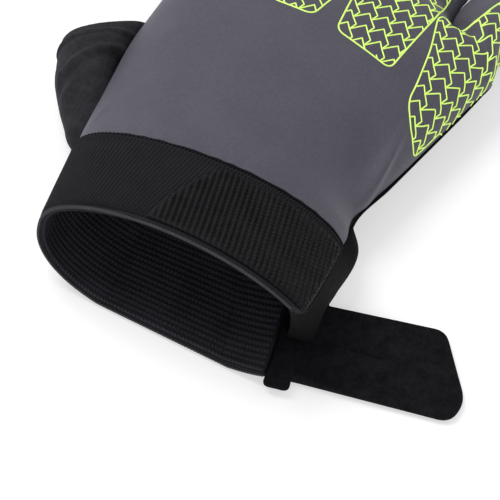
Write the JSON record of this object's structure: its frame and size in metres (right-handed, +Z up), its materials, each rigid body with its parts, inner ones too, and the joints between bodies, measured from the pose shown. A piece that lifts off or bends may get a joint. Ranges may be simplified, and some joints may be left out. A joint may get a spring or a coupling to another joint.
{
  "type": "half-finger cycling glove",
  "caption": "Right-hand half-finger cycling glove lying palm down, with an open elastic cuff, a hook patch on its back and a closure strap laid out to the side.",
  "frame": {"origin": "on the floor plane, in the flat underside of the palm, 61.6 mm from the cuff's rim", "axes": "+Z up from the palm to the back of the hand, +Y from the wrist to the fingers, +X towards the little finger and -X towards the thumb"},
  "size_m": [0.1241, 0.1564, 0.0383],
  "materials": {
    "grey_stretch_knit": "smooth warp-knit with a soft sheen",
    "black_suede": "brushed microfibre suede",
    "black_woven_elastic": "ribbed woven elastic",
    "black_hook_tape": "rows of nylon hooks",
    "black_pile": "brushed loop pile"
  },
  "bodies": {
    "root": {"back_panel": "grey_stretch_knit", "palm_panel": "black_suede", "index_sleeve": "grey_stretch_knit", "middle_sleeve": "grey_stretch_knit", "ring_sleeve": "grey_stretch_knit", "little_sleeve": "grey_stretch_knit", "thumb_sleeve": "black_suede", "cuff_band": "black_woven_elastic", "hook_patch": "black_hook_tape", "ulnar_gusset": "black_woven_elastic", "closure_strap": "black_pile", "seam_tab": "black_woven_elastic"}
  },
  "joints": []
}
